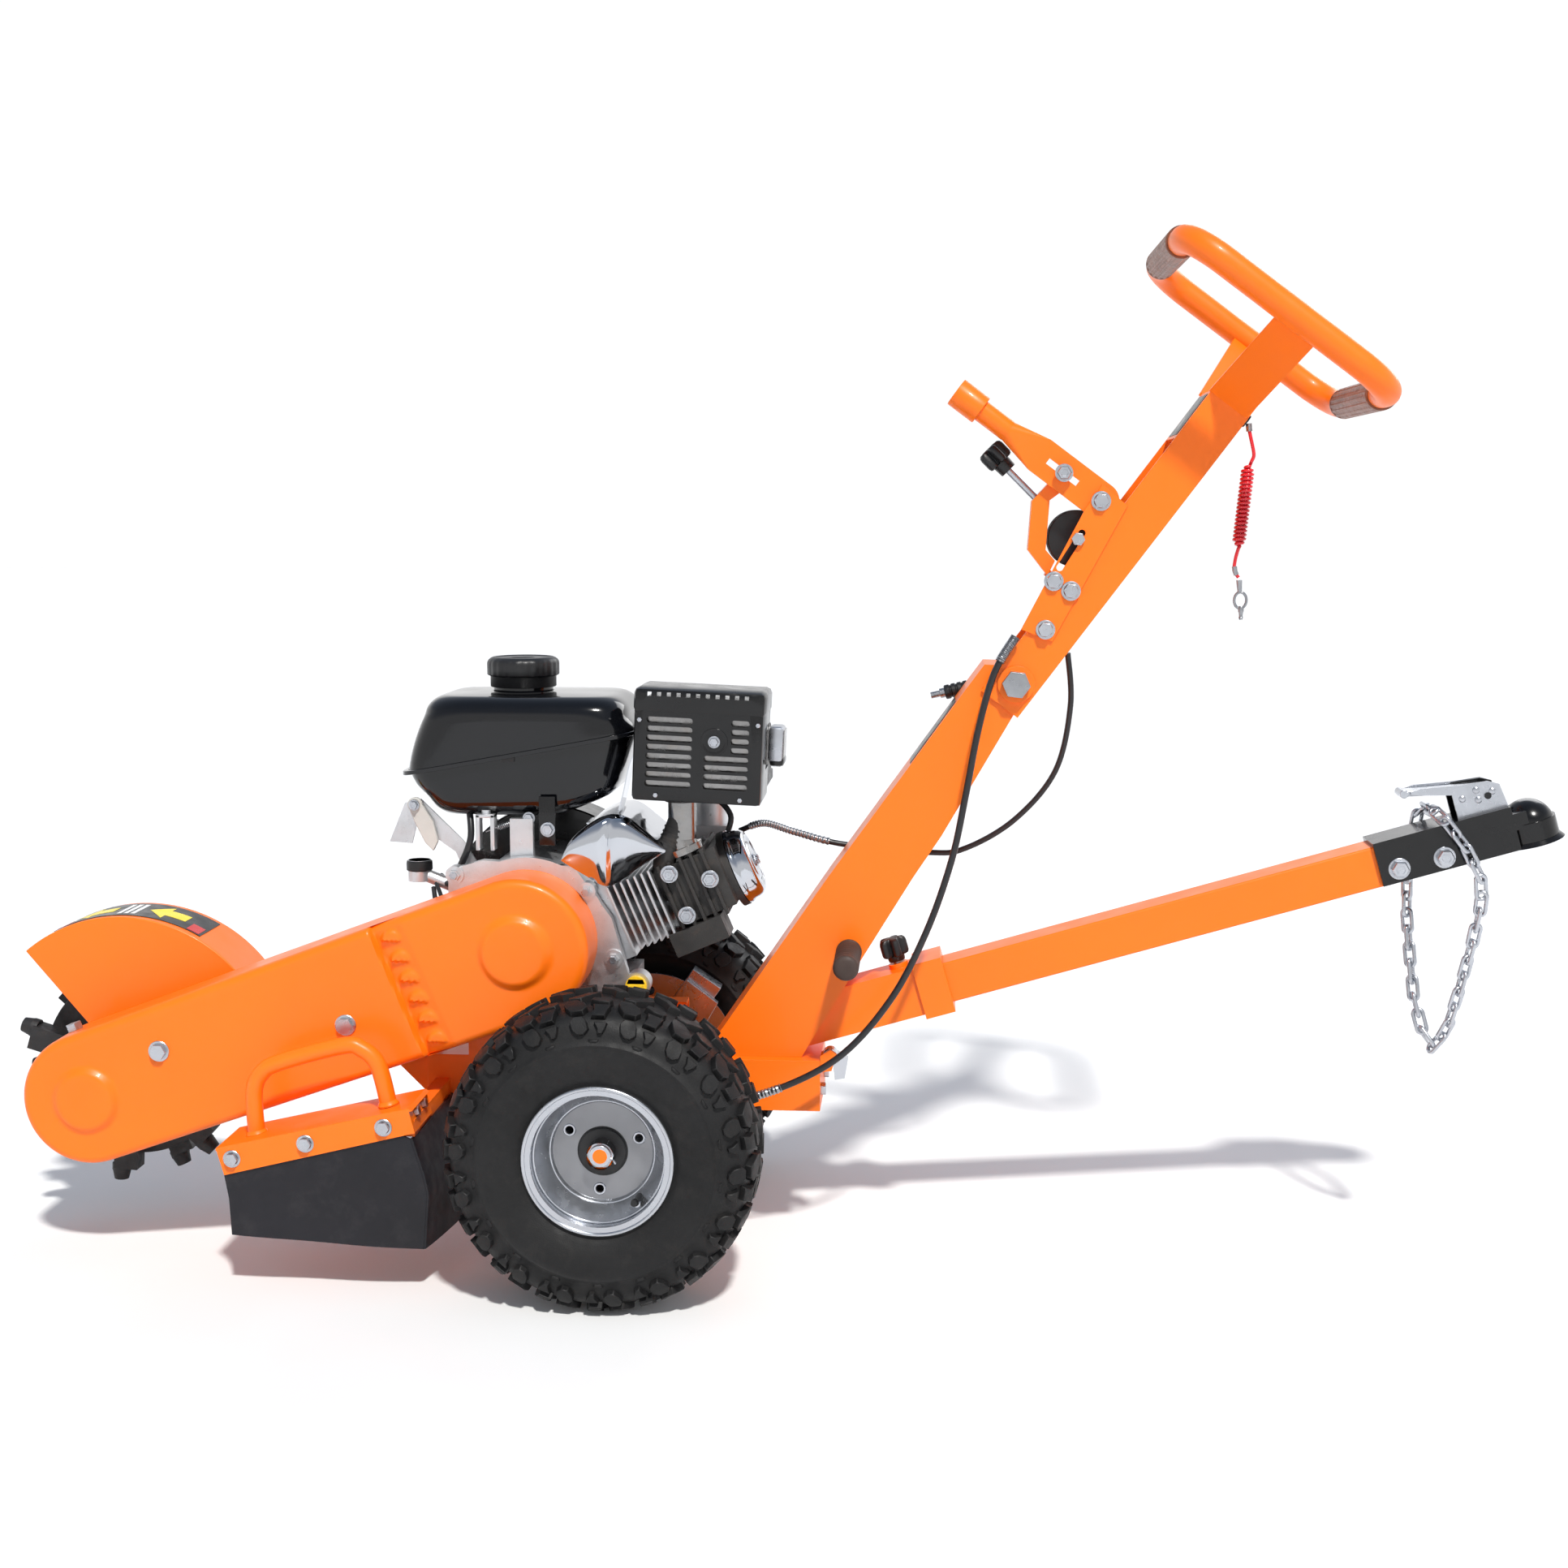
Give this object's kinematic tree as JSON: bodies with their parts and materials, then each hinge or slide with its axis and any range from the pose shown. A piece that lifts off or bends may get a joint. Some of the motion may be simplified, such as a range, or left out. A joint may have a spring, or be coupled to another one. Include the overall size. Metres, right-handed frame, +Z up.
{
  "type": "stump grinder",
  "caption": "Walk-behind stump grinder with toothed cutter disc, belt drive, petrol engine, knobbly tyres, folding steering arm and tow bar.",
  "frame": {"origin": "centre of the machine's plan on the ground under the tyres", "axes": "+X along the machine toward the tow coupling, +Y across it toward the right-hand wheel, +Z up"},
  "size_m": [1.9149, 0.631, 1.2195],
  "materials": {
    "orange_paint": "gloss powder coat",
    "black_paint": "satin black paint",
    "tyre_rubber": "moulded rubber",
    "rubber": "matt rubber sheet",
    "peg_rubber": "matt rubber",
    "rim_silver": "silver paint",
    "zinc": "zinc plated",
    "steel": "machined steel",
    "cast_iron": "dark cast iron",
    "cast_alu": "cast aluminium",
    "chrome": "bright plated",
    "tank_black": "gloss black enamel",
    "black_plastic": "satin moulded plastic",
    "yellow_plastic": "gloss plastic",
    "grey_plastic": "matt plastic",
    "heat_steel": "heat darkened steel",
    "red_cord": "gloss vinyl",
    "cable_jacket": "satin vinyl jacket"
  },
  "bodies": {
    "chassis": {"chassis_frame": "orange_paint", "boom": "orange_paint", "cutter_hood": "orange_paint", "bearing_blocks": "cast_iron", "belt_guard": "orange_paint", "guard_back_plate": "orange_paint", "curtain_bracket": "orange_paint", "rubber_curtains": "rubber", "lift_handle": "orange_paint", "axle": "zinc", "mast": "orange_paint", "foot_pegs": "peg_rubber", "tow_receiver": "orange_paint", "chassis_bolts": "zinc", "engine_block": "cast_alu", "crankcase_cover": "cast_alu", "engine_cylinder": "cast_alu", "valve_cover": "chrome", "cylinder_shroud": "chrome", "fan_housing": "black_paint", "fuel_tank": "tank_black", "muffler": "heat_steel", "muffler_guard": "black_paint", "carburettor": "cast_alu", "air_cleaner": "black_plastic", "drive_belts": "rubber", "brake_calipers": "zinc", "control_cables": "cable_jacket"},
    "left_wheel": {"tyre_left": "tyre_rubber", "rim_left": "rim_silver"},
    "right_wheel": {"tyre_right": "tyre_rubber", "rim_right": "rim_silver"},
    "cutter": {"cutter_shaft": "steel", "driven_pulley": "steel", "cutter_disc": "cast_iron", "cutter_teeth": "cast_iron"},
    "crank": {"crankshaft": "steel", "drive_pulley": "steel"},
    "arm": {"arm_frame": "orange_paint", "handle_loop": "orange_paint", "handle_grips": "peg_rubber", "lever_brackets": "orange_paint", "arm_bolts": "zinc", "kill_switch": "black_plastic", "lanyard_cord": "red_cord", "lanyard_clip": "zinc"},
    "brake_lever": {"brake_lever": "orange_paint"},
    "sheave": {"cable_sheave": "black_plastic"},
    "adjuster": {"adjuster_knob": "black_plastic"},
    "lock_lever": {"lock_lever": "black_plastic"},
    "fuel_cap": {"fuel_cap": "black_plastic"},
    "dipstick": {"dipstick": "yellow_plastic"},
    "choke": {"choke_lever": "grey_plastic"},
    "starter": {"starter_grip": "black_plastic"},
    "tow_bar": {"tow_bar": "orange_paint", "coupler": "black_paint", "safety_chain": "zinc"},
    "tow_knob": {"tow_knob": "black_plastic"},
    "latch": {"coupler_latch": "zinc"},
    "base_latch": {"base_latch": "chrome"}
  },
  "joints": [
    {"name": "left_wheel_spin", "type": "hinge", "parent": "chassis", "child": "left_wheel", "pos_m": [-0.16841, -0.243, 0.181], "axis": [0, 1, 0], "continuous": true},
    {"name": "right_wheel_spin", "type": "hinge", "parent": "chassis", "child": "right_wheel", "pos_m": [-0.16841, 0.243, 0.181], "axis": [0, 1, 0], "continuous": true},
    {"name": "cutter_spin", "type": "hinge", "parent": "chassis", "child": "cutter", "pos_m": [-0.80841, 0, 0.203], "axis": [0, 1, 0], "continuous": true},
    {"name": "crank_spin", "type": "hinge", "parent": "chassis", "child": "crank", "pos_m": [-0.28541, -0.1, 0.387], "axis": [0, 1, 0], "continuous": true},
    {"name": "arm_fold", "type": "hinge", "parent": "chassis", "child": "arm", "pos_m": [0.29909, 0, 0.6973], "axis": [0, -1, 0], "range_deg": [0, 60], "deforming": ["control_cables"]},
    {"name": "brake_pull", "type": "hinge", "parent": "arm", "child": "brake_lever", "pos_m": [0.39485, -0.0457, 0.91278], "axis": [0, 1, 0], "range_deg": [0, 45]},
    {"name": "sheave_turn", "type": "hinge", "parent": "arm", "child": "sheave", "pos_m": [0.36894, 0, 0.86849], "axis": [0, 1, 0], "range_deg": [0, 45]},
    {"name": "adjuster_turn", "type": "hinge", "parent": "arm", "child": "adjuster", "pos_m": [0.27159, -0.023, 0.965], "axis": [-0.7071, 0, 0.7071], "continuous": true},
    {"name": "lock_swing", "type": "hinge", "parent": "chassis", "child": "lock_lever", "pos_m": [0.29909, 0.06, 0.6973], "axis": [0, 1, 0], "range_deg": [0, 60]},
    {"name": "cap_turn", "type": "hinge", "parent": "chassis", "child": "fuel_cap", "pos_m": [-0.31041, 0.04, 0.7], "axis": [0, 0, 1], "range_deg": [0, 90]},
    {"name": "dipstick_turn", "type": "hinge", "parent": "chassis", "child": "dipstick", "pos_m": [-0.15291, -0.09, 0.333], "axis": [0, -1, 0], "continuous": true},
    {"name": "choke_swing", "type": "hinge", "parent": "chassis", "child": "choke", "pos_m": [-0.43041, -0.045, 0.545], "axis": [0, 1, 0], "range_deg": [0, 30]},
    {"name": "starter_pull", "type": "slide", "parent": "chassis", "child": "starter", "axis": [0, 1, 0], "range_m": [0, 0.06], "stiffness_N_per_m": 80, "springref_m": -0.03},
    {"name": "tow_slide", "type": "slide", "parent": "chassis", "child": "tow_bar", "axis": [0.9597, 0, 0.2812], "range_m": [0, 0.09]},
    {"name": "tow_knob_turn", "type": "hinge", "parent": "chassis", "child": "tow_knob", "pos_m": [0.15651, 0, 0.3606], "axis": [-0.2812, 0, 0.9597], "continuous": true},
    {"name": "latch_lift", "type": "hinge", "parent": "tow_bar", "child": "latch", "pos_m": [0.86117, 0, 0.56497], "axis": [0, 1, 0], "range_deg": [0, 60]},
    {"name": "base_latch_swing", "type": "hinge", "parent": "chassis", "child": "base_latch", "pos_m": [0.07959, -0.05, 0.242], "axis": [0, -1, 0], "range_deg": [0, 60]}
  ],
  "couplings": [
    {"joint": "crank_spin", "follows": "cutter_spin", "ratio": 0.904},
    {"joint": "sheave_turn", "follows": "brake_pull", "ratio": 1}
  ]
}
